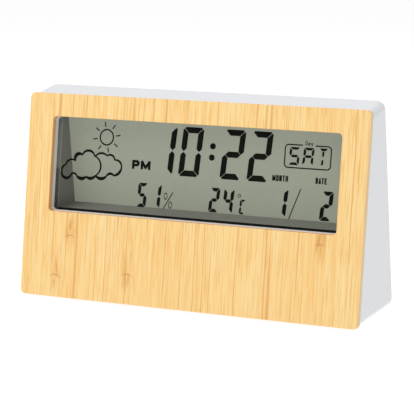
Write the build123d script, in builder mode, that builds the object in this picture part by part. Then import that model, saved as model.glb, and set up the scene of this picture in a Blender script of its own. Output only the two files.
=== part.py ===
"""Home weather station: a desk thermometer, hygrometer, clock and calendar.

A white wedge-shaped housing stands on its base and carries a bamboo board on its leaning
front. A wide liquid crystal display looks out of a window in the board. Behind the display
an open reflector box catches the light. The lower half holds the main board, a key board and
two AAA cells in a tray that is moulded into the rear cover.

Row frame: origin on the table under the middle of the object, +X to the right of someone who
reads the display, +Y away from them, +Z up. Millimetres.
"""

import os
from math import atan2, cos, degrees, pi, radians, sin, tan

from build123d import *

# Overall shape
overall_width = 135.0
base_depth = 39.2  # front edge of the board to back edge of the housing, at the base
top_depth = 12.8  # housing only, front to back along its top
front_lean = 8.5  # degrees back from upright
top_slope = 9.3  # degrees, rising to the back
foot_stand = 0.6  # how far the pads hold the housing off the table

# Bamboo board
panel_height = 76.3  # along its slope
panel_thickness = 2.2
panel_corner = 1.9
panel_edge_round = 0.35
panel_lift = 0.1  # front edge of the board above the housing's bottom
tape_thickness = 0.1
tape_inset = 1.5

# Window in the board
side_margin = 10.2  # bamboo left and right of the window
top_margin = 8.6  # bamboo above the window
window_bottom = 32.2  # bamboo below the window
window_corner = 1.5
rim_step = 0.45  # the white rim stands this much higher than the bamboo, along the bottom

# Housing
wall = 2.0
housing_corner = 3.2
rear_edge_round = 0.7

# Rear cover
cover_thickness = 2.2
cover_gap = 0.2
cover_inset = 0.4
post_diameter = 5.2
post_from_side = 5.2  # post centre to the outside of the housing
post_from_top = 8.2
post_from_base = 9.5
lip_thickness = 1.0
lip_depth = 1.4
boss_diameter = 4.6

# Self-tapping screws: shank diameter, length under the head, head diameter, head height
cover_screw = (2.5, 8.0, 4.6, 1.6)
board_screw = (2.0, 4.4, 3.6, 1.3)
screw_fit = 0.05  # radial room of a shank in its pilot hole
screw_through = 0.25  # radial room of a shank where it passes through a piece
tip_room = 1.0  # pilot hole beyond the screw's tip
head_seat = 1.2  # cover screws' heads stand this deep in the cover
head_gap = 0.25

# Display
glass_thickness = 1.1
polariser_thickness = 0.2
polariser_inset = 0.8
glass_overlap = 2.2  # glass hidden behind the housing, left and right
glass_overlap_top = 1.9
glass_overlap_bottom = 2.1
ledge_height = 3.4  # contact ledge of the front glass
gasket_thickness = 0.5

# Reflector box behind the display
box_wall = 1.2
flange_width = 2.3
flange_thickness = 1.2
floor_above_window = 0.1  # box floor over the bottom of the window, at the bamboo's face
sheet_thickness = 0.3
sheet_gap_top = 6.6  # reflector sheet to the outside of the back, at the window's top
sheet_gap_floor = 8.3  # the same at the box floor
ear_diameter = 5.0
ear_heights = (38.0, 58.0)

# Main board
board_thickness = 1.2
board_standoff = 5.7  # board's front face behind the housing's front wall
board_side_gap = 10.0  # board end to the inside of the housing
board_bottom = 5.2
board_top = 29.6
board_hole_heights = (8.6, 21.0)
board_hole_from_end = 4.2
strip_height = 2.4
strip_end_gap = 3.0
chip_spot = (-14.0, 20.0)
chip_diameter = 13.0
chip_height = 1.4
crystal_spot = (-27.0, 20.0)
crystal_length = 6.0
crystal_diameter = 2.0
capacitor_spots = [(-36.0, 12.0), (-43.0, 12.0)]
capacitor_diameter = 4.0
capacitor_height = 4.6
resistor_centre = (-1.0, 22.0)
resistor_pitch = 2.2
resistor_count = 3
resistor_size = (0.9, 1.7, 0.5)

# Cells and battery bay, measured up the back and in from the cover's outside
cell_diameter = 10.5
cell_length = 43.6
cell_nub = (3.8, 0.9)  # diameter, height
cell_gap = 0.4
bay_side_gap = 0.3
bay_end_gap = 3.1  # room for a spring or a contact at each end
bay_wall = 1.4
bay_floor_gap = 0.93  # tray's lower inner corner to the housing's floor
bay_ledge = 1.0  # how far the door overlaps the bay's walls
nub_gap = 1.6  # a cell's nub to the bay's end wall
plate_thickness = 0.4
plate_gap = 0.05
spring_wire = 0.5
spring_radii = (3.4, 2.0)  # at the plate and at the cell
bay_from_middle = 2.6  # inner end of the bay to the middle of the cover

# Battery door
door_thickness = 1.6
door_gap = 0.25
door_swing = 70.0
tab_width = 6.0
tab_spread = 32.0
tab_reach = 1.3
tab_thickness = 0.9
tab_under = 0.3  # tab below the cover's inside face
latch_width = 11.0
latch_length = 6.5
latch_slit = 0.9
slot_depth = 4.2
finger_radius = 4.6
finger_depth = 1.2
plate_depth = 8.0  # contact plates, across the cell
tail_width = 2.4
tail_proud = 1.8
dimple_diameter = 3.4

# Keys, switches and key board
key_names = ("mode", "set", "up", "down", "alarm")
key_pitch = 11.0
key_space = 3.4  # cover left between two keys
key_width = 5.0
key_corner = 1.6
key_proud = 1.0
key_gap = 0.25
key_travel = 0.5
flange_rim = 0.9
key_flange = 0.8
key_height = 14.5  # up the back
key_from_middle = 8.2  # first key to the middle of the cover
key_post = 2.6
key_post_length = 0.5
switch_side = 6.0
switch_body = 3.3
plunger_diameter = 3.4
plunger_length = 1.9
plunger_proud = 0.9
plunger_gap = 0.08
key_board_bottom = 8.0
key_board_top = 30.0
key_board_margins = (6.4, 6.0)  # beyond the first and the last key
key_board_screw_height = 23.6

# Vents, sensors and sounder
vent_count = 6
vent_pitch = 3.0
vent_size = (1.3, 6.0)
vent_height = 24.6
vent_from_last_key = 9.4  # middle of the vents to the last key, towards the middle
sensor_size = (8.0, 5.0, 2.2)
thermistor_diameter = 2.2
thermistor_height = 1.8
thermistor_stand = 2.2
sound_hole = 1.2
sound_spacing = 3.2
sounder_diameter = 20.0
sounder_height = 49.0
sounder_ring = 1.0
sounder_brass = 0.25
sounder_ceramic_size = (14.0, 0.2)  # diameter, thickness

# Foot pads
pad_diameter = 8.0
pad_thickness = 1.2
pad_from_side = 13.0
pad_from_front = 9.0
pad_from_back = 8.0

# Wires
lead_diameter = 1.2
thin_lead = 0.9
ribbon_width = 9.0
ribbon_x = 14.0
ribbon_thickness = 0.8

# Shared values worked out from the ones above
half_width = overall_width / 2
front_stack = panel_thickness + tape_thickness  # board's face to the housing's front
recess = front_stack + wall  # board's face to the display
window_width = overall_width - 2 * side_margin
window_top = panel_height - top_margin
window_height = window_top - window_bottom
rim_bottom = window_bottom + rim_step
lean = radians(front_lean)
slope = radians(top_slope)

# Front plane: x to the right, y up the board, z out towards the reader
front = Plane(
    origin=(0, -base_depth / 2, foot_stand + panel_lift),
    x_dir=(1, 0, 0),
    z_dir=(0, -cos(lean), sin(lean)),
)


def behind(depth):
    """Plane parallel to the board's face, that far behind it."""
    return front.offset(-depth)


# Side profile of the housing, in Y and Z: bottom front, top front, top back, bottom back
housing_front = behind(front_stack)
top_front = housing_front.from_local_coords((0, panel_height, 0))
bottom_front_y = housing_front.origin.Y + (foot_stand - housing_front.origin.Z) * tan(lean)
side_points = [
    (bottom_front_y, foot_stand),
    (top_front.Y, top_front.Z),
    (top_front.Y + top_depth * cos(slope), top_front.Z + top_depth * sin(slope)),
    (base_depth / 2, foot_stand),
]
back_lean = atan2(
    side_points[3][0] - side_points[2][0], side_points[2][1] - side_points[3][1]
)

# Back plane: x to the right of someone who looks at the back, y up it, z out of it
back = Plane(
    origin=(0, base_depth / 2, foot_stand),
    x_dir=(-1, 0, 0),
    z_dir=(0, cos(back_lean), sin(back_lean)),
)
cover_face = back.offset(-cover_inset)


def inside(depth):
    """Plane parallel to the rear cover's outer face, that far inside it."""
    return cover_face.offset(-depth)


cover_inner = inside(cover_thickness)

os.makedirs("parts", exist_ok=True)


def body_block(inset, corner, past_back=0.0):
    """Solid of the housing's outer shape, drawn in by inset, its back moved out by past_back."""
    top_run = (cos(slope) * past_back, sin(slope) * past_back)
    points = [
        side_points[0],
        side_points[1],
        (side_points[2][0] + top_run[0], side_points[2][1] + top_run[1]),
        (side_points[3][0] + past_back, side_points[3][1]),
    ]
    with BuildPart() as block:
        with BuildSketch(Plane.YZ.offset(inset - half_width)):
            with BuildLine():
                Polyline(*points, close=True)
            make_face()
            if inset:
                offset(amount=-inset, kind=Kind.INTERSECTION)
        extrude(amount=overall_width - 2 * inset)
        ends = block.faces().filter_by(Axis.X)
        long_edges = [f.edges().sort_by(Axis.Z)[i] for f in ends for i in (0, -1)]
        fillet(long_edges, radius=corner)
    return block.part


def screw(plane, spots, size):
    """Pan-head self-tapping screws whose heads stand on plane and whose tips point into it."""
    shank, length, head, head_height = size
    slot = (head * 0.55, head * 0.13, head_height * 0.55)
    with BuildPart() as made:
        with BuildSketch(plane):
            with Locations(*spots):
                Circle(head / 2)
        extrude(amount=head_height)
        fillet(made.edges().group_by(Axis(plane.origin, plane.z_dir))[-1], head_height * 0.45)
        with BuildSketch(plane):
            with Locations(*spots):
                Circle(shank / 2)
        extrude(amount=-length)
        chamfer(made.edges().group_by(Axis(plane.origin, plane.z_dir))[0], shank * 0.2)
        with BuildSketch(plane.offset(head_height)):
            with Locations(*spots):
                Rectangle(slot[0], slot[1])
                Rectangle(slot[1], slot[0])
        extrude(amount=-slot[2], mode=Mode.SUBTRACT)
    return made


# Places that several pieces share
post_x = half_width - post_from_side
back_height = (side_points[2][1] - side_points[3][1]) / cos(back_lean)
post_spots = [
    (x, y) for x in (-post_x, post_x) for y in (post_from_base, back_height - post_from_top)
]
ear_spots = [(x, y) for x in (-post_x, post_x) for y in ear_heights]
board_half = half_width - wall - board_side_gap
board_spots = [
    (x, y)
    for x in (-board_half + board_hole_from_end, board_half - board_hole_from_end)
    for y in board_hole_heights
]
board_face = recess + board_standoff  # main board's front face behind the bamboo's face
stack_back = recess + 2 * polariser_thickness + 2 * glass_thickness
flange_face = stack_back + gasket_thickness
key_length = key_pitch - key_space
key_spots = [(key_from_middle + i * key_pitch, key_height) for i in range(len(key_names))]
key_tip = cover_thickness + 0.1 + key_flange + key_post_length
key_board_face = key_tip + plunger_proud + switch_body
bay_length = cell_length + cell_nub[1] + 2 * bay_end_gap
bay_height = 2 * cell_diameter + cell_gap + 2 * bay_side_gap
bay_centre_x = -(bay_from_middle + bay_wall + bay_length / 2)
cell_axis = door_thickness + bay_side_gap + cell_diameter / 2
bay_depth = cell_axis + cell_diameter / 2 + 0.2
# the tray stands square to the leaning back, so a corner of its floor comes down lowest
bay_bottom = bay_wall + (
    (wall + bay_floor_gap + (cover_inset + bay_depth + bay_wall) * sin(back_lean))
    / cos(back_lean)
)
bay_centre_y = bay_bottom + bay_height / 2
key_board_x = (key_spots[0][0] - key_board_margins[0], key_spots[-1][0] + key_board_margins[1])
vent_middle = key_spots[-1][0] - vent_from_last_key
sounder_x = key_from_middle + 1.5 * key_pitch


# Bamboo board: one flat board with a rounded window, sawn level along its foot
with BuildPart() as front_panel:
    with BuildSketch(front):
        with Locations((0, panel_height / 2)):
            RectangleRounded(overall_width, panel_height, panel_corner)
        with Locations((0, (window_bottom + window_top) / 2)):
            RectangleRounded(window_width, window_height, window_corner, mode=Mode.SUBTRACT)
    extrude(amount=-panel_thickness)
    face_edges = front_panel.faces().sort_by(Axis(front.origin, front.z_dir))[-1].edges()
    fillet(face_edges, radius=panel_edge_round)
    with BuildSketch(Plane.XY.offset(foot_stand)):
        Rectangle(2 * overall_width, 2 * base_depth)
    extrude(amount=-base_depth, mode=Mode.SUBTRACT)
front_panel.part.label = "front_panel"
export_step(front_panel.part, "parts/front_panel.step")

# Double-sided tape that holds the board
with BuildPart() as panel_tape:
    with BuildSketch(behind(panel_thickness)):
        with Locations((0, panel_height / 2)):
            RectangleRounded(
                overall_width - 2 * tape_inset, panel_height - 2 * tape_inset, panel_corner
            )
        with Locations((0, (window_bottom + window_top) / 2)):
            RectangleRounded(
                window_width + 2 * tape_inset,
                window_height + 2 * tape_inset,
                window_corner,
                mode=Mode.SUBTRACT,
            )
    extrude(amount=-tape_thickness)
panel_tape.part.label = "panel_tape"
export_step(panel_tape.part, "parts/panel_tape.step")

# Posts that the rear cover's screws go into, cut off where the housing ends
with BuildPart() as cover_posts:
    with BuildSketch(cover_inner):
        with Locations(*post_spots):
            Circle(post_diameter / 2)
    extrude(amount=-2 * base_depth)
    add(body_block(wall / 2, housing_corner - wall / 2), mode=Mode.INTERSECT)

# Front housing: five walls moulded in one, open at the back
pad_spots = [
    (x, y)
    for x in (pad_from_side - half_width, half_width - pad_from_side)
    for y in (side_points[0][0] + pad_from_front, side_points[3][0] - pad_from_back)
]
with BuildPart() as front_housing:
    add(body_block(0, housing_corner))
    add(body_block(wall, housing_corner - wall, past_back=base_depth), mode=Mode.SUBTRACT)
    add(cover_posts.part)
    with BuildSketch(behind(recess)):
        with Locations(*ear_spots):
            Circle(ear_diameter / 2)
    extrude(amount=-(flange_face - recess))
    with BuildSketch(behind(recess)):
        with Locations(*board_spots):
            Circle(ear_diameter / 2)
    extrude(amount=-board_standoff)
    # window, a little shallower than the one in the bamboo
    with BuildSketch(behind(front_stack)):
        with Locations((0, (rim_bottom + window_top) / 2)):
            RectangleRounded(window_width, window_top - rim_bottom, window_corner)
    extrude(amount=-wall, mode=Mode.SUBTRACT)
    # pilot holes for the screws
    with BuildSketch(cover_inner):
        with Locations(*post_spots):
            Circle(cover_screw[0] / 2 + screw_fit)
    pilot = cover_screw[1] - (cover_thickness - head_seat) + tip_room
    extrude(amount=-pilot, mode=Mode.SUBTRACT)
    with BuildSketch(behind(flange_face)):
        with Locations(*ear_spots):
            Circle(board_screw[0] / 2 + screw_fit)
    ear_bore = min(board_screw[1] - flange_thickness + 0.3, flange_face - recess + wall * 0.6)
    extrude(amount=ear_bore, mode=Mode.SUBTRACT)
    with BuildSketch(behind(board_face)):
        with Locations(*board_spots):
            Circle(board_screw[0] / 2 + screw_fit)
    extrude(amount=board_screw[1] - board_thickness + tip_room, mode=Mode.SUBTRACT)
    # shallow seats for the foot pads
    with BuildSketch(Plane.XY.offset(foot_stand)):
        with Locations(*pad_spots):
            Circle(pad_diameter / 2 + cover_gap)
    extrude(amount=pad_thickness - foot_stand, mode=Mode.SUBTRACT)
    outer_rim = front_housing.faces().sort_by(Axis(back.origin, back.z_dir))[-1]
    fillet(outer_rim.outer_wire().edges(), radius=rear_edge_round)
front_housing.part.label = "front_housing"
export_step(front_housing.part, "parts/front_housing.step")

# Foot pads
with BuildPart() as foot_pads:
    with BuildSketch(Plane.XY):
        with Locations(*pad_spots):
            Circle(pad_diameter / 2)
    extrude(amount=pad_thickness)
    fillet(foot_pads.edges().group_by(Axis.Z)[0], radius=foot_stand / 2)
foot_pads.part.label = "foot_pads"
export_step(foot_pads.part, "parts/foot_pads.step")


def display_layer(depth, thickness, inset, low):
    """Flat layer of the display, from low up to its top edge, drawn in by inset."""
    width = window_width + 2 * glass_overlap - 2 * inset
    top = window_top + glass_overlap_top - inset
    with BuildPart() as layer:
        with BuildSketch(behind(depth)):
            with Locations((0, (low + top) / 2)):
                Rectangle(width, top - low)
        extrude(amount=-thickness)
    return layer


# Display: polariser, front glass with its contact ledge, rear glass, polariser
glass_low = window_bottom - glass_overlap_bottom
polariser_low = glass_low + polariser_inset
rear_depth = recess + polariser_thickness + glass_thickness
front_polariser = display_layer(recess, polariser_thickness, polariser_inset, polariser_low)
front_polariser.part.label = "front_polariser"
export_step(front_polariser.part, "parts/front_polariser.step")

lcd_front_glass = display_layer(
    recess + polariser_thickness, glass_thickness, 0, glass_low - ledge_height
)
lcd_front_glass.part.label = "lcd_front_glass"
export_step(lcd_front_glass.part, "parts/lcd_front_glass.step")

lcd_rear_glass = display_layer(rear_depth, glass_thickness, 0, glass_low)
lcd_rear_glass.part.label = "lcd_rear_glass"
export_step(lcd_rear_glass.part, "parts/lcd_rear_glass.step")

rear_polariser = display_layer(
    stack_back - polariser_thickness, polariser_thickness, polariser_inset, polariser_low
)
rear_polariser.part.label = "rear_polariser"
export_step(rear_polariser.part, "parts/rear_polariser.step")

# Conducting rubber strip between the glass ledge and the main board
with BuildPart() as contact_strip:
    with BuildSketch(behind(rear_depth)):
        with Locations((0, glass_low - ledge_height + strip_height / 2 + 0.3)):
            Rectangle(2 * (board_half - strip_end_gap), strip_height)
    extrude(amount=-(board_face - rear_depth))
contact_strip.part.label = "contact_strip"
export_step(contact_strip.part, "parts/contact_strip.step")

# Reflector box: level floor and ceiling, upright sides, back that leans with the cover
floor_point = front.from_local_coords((0, window_bottom + floor_above_window, 0))
floor_z = floor_point.Z
ceiling_z = behind(stack_back).from_local_coords((0, window_top + 0.4, 0)).Z


def back_y(z):
    """Y of the housing's back surface at height z."""
    return base_depth / 2 - (z - foot_stand) * tan(back_lean)


def front_y(z, depth):
    """Y of the plane that lies depth behind the bamboo's face, at height z."""
    start = behind(depth).origin
    return start.Y + (z - start.Z) * tan(lean)


def box_section(clear):
    """Side view of the reflector box's hollow, grown by clear."""
    low = floor_z - clear
    high = ceiling_z + clear
    fall = (sheet_gap_floor - sheet_gap_top) / (ceiling_z - floor_z)
    return [
        (front_y(low, flange_face), low),
        (front_y(high, flange_face), high),
        (back_y(high) - sheet_gap_top + fall * clear + clear, high),
        (back_y(low) - sheet_gap_floor - fall * clear + clear, low),
    ]


box_half = window_width / 2 - 0.1


def box_prism(clear):
    """Solid of the reflector box's hollow, grown by clear."""
    with BuildPart() as prism:
        with BuildSketch(Plane.YZ.offset(-box_half - clear)):
            with BuildLine():
                Polyline(*box_section(clear), close=True)
            make_face()
        extrude(amount=2 * (box_half + clear))
    return prism.part


flange_low = glass_low + 0.1
flange_high = window_top + glass_overlap_top
sheet_points = box_section(0)[2:]
sheet_back = [(y + sheet_thickness, z) for y, z in sheet_points]
with BuildPart() as reflector_sheet:
    with BuildSketch(Plane.YZ.offset(-box_half)):
        with BuildLine():
            Polyline(sheet_points[0], sheet_points[1], sheet_back[1], sheet_back[0], close=True)
        make_face()
    extrude(amount=2 * box_half)
reflector_sheet.part.label = "reflector_sheet"
export_step(reflector_sheet.part, "parts/reflector_sheet.step")

with BuildPart() as reflector_box:
    add(box_prism(box_wall + sheet_thickness))
    with BuildSketch(behind(flange_face)):
        with Locations((0, (flange_low + flange_high) / 2)):
            Rectangle(window_width + 2 * glass_overlap, flange_high - flange_low)
        with Locations(*ear_spots):
            Circle(ear_diameter / 2)
        with Locations(*[(x * 0.97, y) for x, y in ear_spots]):
            Rectangle(ear_diameter, ear_diameter)
    extrude(amount=-flange_thickness)
    add(box_prism(0), mode=Mode.SUBTRACT)
    add(reflector_sheet.part, mode=Mode.SUBTRACT)
    with BuildSketch(behind(flange_face)):
        with Locations(*ear_spots):
            Circle(board_screw[0] / 2 + screw_through)
    extrude(amount=-2 * flange_thickness, mode=Mode.SUBTRACT)
    # nothing stands in front of the flange's face
    split(bisect_by=behind(flange_face), keep=Keep.BOTTOM)
reflector_box.part.label = "reflector_box"
export_step(reflector_box.part, "parts/reflector_box.step")

# Black foam gasket between the rear glass and the box's flange, open like the box
with BuildPart() as gasket_hole:
    with BuildSketch(Plane.YZ.offset(-box_half)):
        with BuildLine():
            Polyline(
                (front_y(floor_z, 0), floor_z),
                (front_y(ceiling_z, 0), ceiling_z),
                (back_y(ceiling_z), ceiling_z),
                (back_y(floor_z), floor_z),
                close=True,
            )
        make_face()
    extrude(amount=2 * box_half)
with BuildPart() as display_gasket:
    with BuildSketch(behind(stack_back)):
        with Locations((0, (flange_low + flange_high) / 2)):
            Rectangle(window_width + 2 * glass_overlap, flange_high - flange_low)
    extrude(amount=-gasket_thickness)
    add(gasket_hole.part, mode=Mode.SUBTRACT)
display_gasket.part.label = "display_gasket"
export_step(display_gasket.part, "parts/display_gasket.step")


def rear_of(depth):
    """Plane that faces away from the reader, that far behind the bamboo's face."""
    start = behind(depth)
    return Plane(origin=start.origin, x_dir=(-1, 0, 0), z_dir=-start.z_dir)


box_screws = screw(rear_of(flange_face + flange_thickness), ear_spots, board_screw)
box_screws.part.label = "box_screws"
export_step(box_screws.part, "parts/box_screws.step")

# Main board, on four bosses of the housing
board_back = board_face + board_thickness
with BuildPart() as main_board:
    with BuildSketch(behind(board_face)):
        with Locations((0, (board_bottom + board_top) / 2)):
            Rectangle(2 * board_half, board_top - board_bottom)
        with Locations(*board_spots):
            Circle(board_screw[0] / 2 + screw_through, mode=Mode.SUBTRACT)
    extrude(amount=-board_thickness)
main_board.part.label = "main_board"
export_step(main_board.part, "parts/main_board.step")

board_screws = screw(rear_of(board_back), board_spots, board_screw)
board_screws.part.label = "board_screws"
export_step(board_screws.part, "parts/board_screws.step")

# Parts on the main board: potted chip, crystal, two capacitors, a row of resistors
with BuildPart() as controller_blob:
    with BuildSketch(rear_of(board_back)):
        with Locations(chip_spot):
            Circle(chip_diameter / 2)
    extrude(amount=chip_height)
    fillet(controller_blob.edges().group_by(Axis(front.origin, front.z_dir))[0], 0.7 * chip_height)
controller_blob.part.label = "controller_blob"
export_step(controller_blob.part, "parts/controller_blob.step")

with BuildPart() as crystal:
    with BuildSketch(rear_of(board_back + crystal_diameter / 2)):
        with Locations(crystal_spot):
            Rectangle(crystal_length, crystal_diameter)
    extrude(amount=crystal_diameter / 2, both=True)
    fillet(crystal.edges().filter_by(Axis.X), 0.45 * crystal_diameter)
crystal.part.label = "crystal"
export_step(crystal.part, "parts/crystal.step")

with BuildPart() as capacitors:
    with BuildSketch(rear_of(board_back)):
        with Locations(*capacitor_spots):
            Circle(capacitor_diameter / 2)
    extrude(amount=capacitor_height)
    fillet(capacitors.edges().group_by(Axis(front.origin, front.z_dir))[0], 0.4)
capacitors.part.label = "capacitors"
export_step(capacitors.part, "parts/capacitors.step")

with BuildPart() as resistors:
    with BuildSketch(rear_of(board_back)):
        with Locations(resistor_centre):
            with GridLocations(resistor_pitch, 2 * resistor_pitch, resistor_count, 2):
                Rectangle(*resistor_size[:2])
    extrude(amount=resistor_size[2])
resistors.part.label = "resistors"
export_step(resistors.part, "parts/resistors.step")


def cover_layer(inset, depth, thickness):
    """Plate with the hollow's outline, drawn in by inset, from depth inside the cover's face."""
    with BuildPart() as plate:
        add(body_block(inset, max(housing_corner - inset, 0.3), past_back=base_depth))
        with BuildSketch(inside(depth)):
            Rectangle(3 * overall_width, 3 * panel_height)
        extrude(amount=-thickness, mode=Mode.INTERSECT)
    return plate.part


# Rear cover: plate with a lip, the cells' tray, key holes, vents and sound holes
door_low = bay_bottom - bay_ledge
door_high = bay_bottom + bay_height + bay_ledge
tab_spots = [bay_centre_x - tab_spread / 2, bay_centre_x + tab_spread / 2]
vent_spots = [
    (vent_middle + (i - (vent_count - 1) / 2) * vent_pitch, vent_height) for i in range(vent_count)
]
key_board_spots = [
    (x, key_board_screw_height)
    for x in (key_board_x[0] + 3.2, sum(key_board_x) / 2, key_board_x[1] - 3.2)
]
positive_y = bay_centre_y + (cell_diameter + cell_gap) / 2
negative_y = bay_centre_y - (cell_diameter + cell_gap) / 2
bay_inner_x = bay_centre_x + bay_length / 2  # end wall near the middle of the cover
bay_outer_x = bay_centre_x - bay_length / 2
tail_x = bay_inner_x - plate_gap - plate_thickness / 2
tail_slot = (plate_thickness + 2 * plate_gap + 0.2, tail_width + 0.6)
with BuildPart() as rear_cover:
    add(cover_layer(wall + cover_gap, 0, cover_thickness))
    add(cover_layer(wall + cover_gap, cover_thickness, lip_depth))
    add(cover_layer(wall + cover_gap + lip_thickness, cover_thickness, lip_depth), mode=Mode.SUBTRACT)
    with BuildSketch(cover_inner):
        with Locations(*post_spots):
            Circle(post_diameter / 2 + cover_gap + 0.2)
    extrude(amount=-base_depth, mode=Mode.SUBTRACT)
    # tray, key board bosses, sounder ring
    with BuildSketch(cover_inner):
        with Locations((bay_centre_x, bay_centre_y)):
            Rectangle(bay_length + 2 * bay_wall, bay_height + 2 * bay_wall)
    extrude(amount=-(bay_depth + bay_wall - cover_thickness))
    with BuildSketch(cover_inner):
        with Locations(*key_board_spots):
            Circle(boss_diameter / 2)
    extrude(amount=-(key_board_face - cover_thickness))
    with BuildSketch(cover_inner):
        with Locations((sounder_x, sounder_height)):
            Circle(sounder_diameter / 2)
            Circle(sounder_diameter / 2 - 1.6, mode=Mode.SUBTRACT)
    extrude(amount=-sounder_ring)
    # hollow of the tray and the door's seat
    with BuildSketch(cover_face):
        with Locations((bay_centre_x, bay_centre_y)):
            Rectangle(bay_length, bay_height)
    extrude(amount=-bay_depth, mode=Mode.SUBTRACT)
    with BuildSketch(cover_face):
        with Locations((bay_centre_x, bay_centre_y)):
            Rectangle(bay_length + 2 * bay_ledge, bay_height + 2 * bay_ledge)
    extrude(amount=-door_thickness - 0.1, mode=Mode.SUBTRACT)
    # finger hollow over the latch
    with BuildSketch(cover_face):
        with Locations((bay_centre_x, door_high)):
            Circle(finger_radius)
    extrude(amount=-finger_depth, mode=Mode.SUBTRACT)
    # slots that the door's two tabs hook into, through the tray's lower wall
    with BuildSketch(inside(door_thickness)):
        with Locations(*[(x, bay_bottom - bay_ledge / 2) for x in tab_spots]):
            Rectangle(tab_width + 2 * door_gap, bay_ledge + 0.02)
    extrude(amount=-(slot_depth - door_thickness), mode=Mode.SUBTRACT)
    with BuildSketch(cover_inner):
        with Locations(*[(x, bay_bottom - bay_ledge - 0.5) for x in tab_spots]):
            Rectangle(tab_width + 2 * door_gap, 1.2)
    extrude(amount=-(slot_depth - cover_thickness), mode=Mode.SUBTRACT)
    # slots in the tray's floor for the contacts' tails
    with BuildSketch(inside(bay_depth)):
        with Locations((tail_x, positive_y), (tail_x, negative_y)):
            Rectangle(*tail_slot)
    extrude(amount=-2 * bay_wall, mode=Mode.SUBTRACT)
    # key holes, vents, sound holes
    with BuildSketch(cover_face):
        with Locations(*key_spots):
            RectangleRounded(
                key_length + 2 * key_gap, key_width + 2 * key_gap, key_corner + key_gap
            )
        with Locations(*vent_spots):
            SlotOverall(vent_size[1], vent_size[0], rotation=90)
        with Locations((sounder_x, sounder_height)):
            with GridLocations(sound_spacing, sound_spacing, 3, 3):
                Circle(sound_hole / 2)
    extrude(amount=-cover_thickness, mode=Mode.SUBTRACT)
    # screw holes
    with BuildSketch(cover_face):
        with Locations(*post_spots):
            Circle(cover_screw[2] / 2 + head_gap)
    extrude(amount=-head_seat, mode=Mode.SUBTRACT)
    with BuildSketch(cover_face):
        with Locations(*post_spots):
            Circle(cover_screw[0] / 2 + screw_through)
    extrude(amount=-cover_thickness, mode=Mode.SUBTRACT)
    with BuildSketch(inside(key_board_face)):
        with Locations(*key_board_spots):
            Circle(board_screw[0] / 2 + screw_fit)
    key_pilot = board_screw[1] - board_thickness + tip_room
    extrude(amount=key_pilot, mode=Mode.SUBTRACT)
rear_cover.part.label = "rear_cover"
export_step(rear_cover.part, "parts/rear_cover.step")

cover_screws = screw(inside(head_seat), post_spots, cover_screw)
cover_screws.part.label = "cover_screws"
export_step(cover_screws.part, "parts/cover_screws.step")

# Battery door: plate with two hooked tabs at the foot and a sprung tongue at the head
plate_size = (
    bay_length + 2 * bay_ledge - 2 * door_gap,
    bay_height + 2 * bay_ledge - 2 * door_gap,
)
door_edge_low = door_low + door_gap
door_edge_high = door_high - door_gap
slit_x = latch_width / 2 + latch_slit / 2
with BuildPart() as battery_door:
    with BuildSketch(cover_face):
        with Locations((bay_centre_x, bay_centre_y)):
            RectangleRounded(*plate_size, 0.6)
        slit_y = door_edge_high - latch_length / 2
        with Locations((bay_centre_x - slit_x, slit_y), (bay_centre_x + slit_x, slit_y)):
            Rectangle(latch_slit, latch_length, mode=Mode.SUBTRACT)
    extrude(amount=-door_thickness)
    # tabs: a neck under the plate, then a foot that reaches under the cover
    with BuildSketch(inside(door_thickness)):
        with Locations(*[(x, door_edge_low + 0.8) for x in tab_spots]):
            Rectangle(tab_width, 1.2)
    extrude(amount=-(cover_thickness + tab_under + tab_thickness - door_thickness))
    foot_low = door_low - tab_reach
    foot_high = door_edge_low + 1.4
    with BuildSketch(inside(cover_thickness + tab_under)):
        with Locations(*[(x, (foot_low + foot_high) / 2) for x in tab_spots]):
            Rectangle(tab_width, foot_high - foot_low)
    extrude(amount=-tab_thickness)
    # three grip ribs on the tongue
    with BuildSketch(cover_face):
        with Locations((bay_centre_x, door_edge_high - 3.2)):
            with GridLocations(1, 1.5, 1, 3):
                Rectangle(latch_width - 3, 0.6)
    extrude(amount=0.3)
battery_door.part.label = "battery_door"
export_step(battery_door.part, "parts/battery_door.step")


# Keys: a cap in its hole, a flange behind the cover, a short post that meets the switch
def key(spot):
    """One key cap with its flange and post, at rest."""
    with BuildPart() as made:
        with BuildSketch(cover_face.offset(key_proud)):
            with Locations(spot):
                RectangleRounded(key_length, key_width, key_corner)
        extrude(amount=-(key_proud + cover_thickness + 0.1))
        outer = made.edges().group_by(Axis(back.origin, back.z_dir))[-1]
        fillet(outer, radius=0.4)
        with BuildSketch(inside(cover_thickness + 0.1)):
            with Locations(spot):
                Rectangle(key_length + 2 * flange_rim, key_width + 2 * flange_rim)
        extrude(amount=-key_flange)
        with BuildSketch(inside(key_tip - key_post_length)):
            with Locations(spot):
                Circle(key_post / 2)
        extrude(amount=-key_post_length)
    return made


def plunger(spot):
    """One switch plunger, at rest, a hair away from the key's post."""
    with BuildPart() as made:
        with BuildSketch(inside(key_tip + plunger_gap)):
            with Locations(spot):
                Circle(plunger_diameter / 2)
        extrude(amount=-plunger_length)
    return made


for name, spot in zip(key_names, key_spots):
    cap = key(spot)
    cap.part.label = f"key_{name}"
    export_step(cap.part, f"parts/key_{name}.step")
    stem = plunger(spot)
    stem.part.label = f"plunger_{name}"
    export_step(stem.part, f"parts/plunger_{name}.step")

# Key board with its switches, on three bosses of the cover
with BuildPart() as key_board:
    with BuildSketch(inside(key_board_face)):
        with Locations((sum(key_board_x) / 2, (key_board_bottom + key_board_top) / 2)):
            Rectangle(key_board_x[1] - key_board_x[0], key_board_top - key_board_bottom)
        with Locations(*key_board_spots):
            Circle(board_screw[0] / 2 + screw_through, mode=Mode.SUBTRACT)
    extrude(amount=-board_thickness)
key_board.part.label = "key_board"
export_step(key_board.part, "parts/key_board.step")

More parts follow.
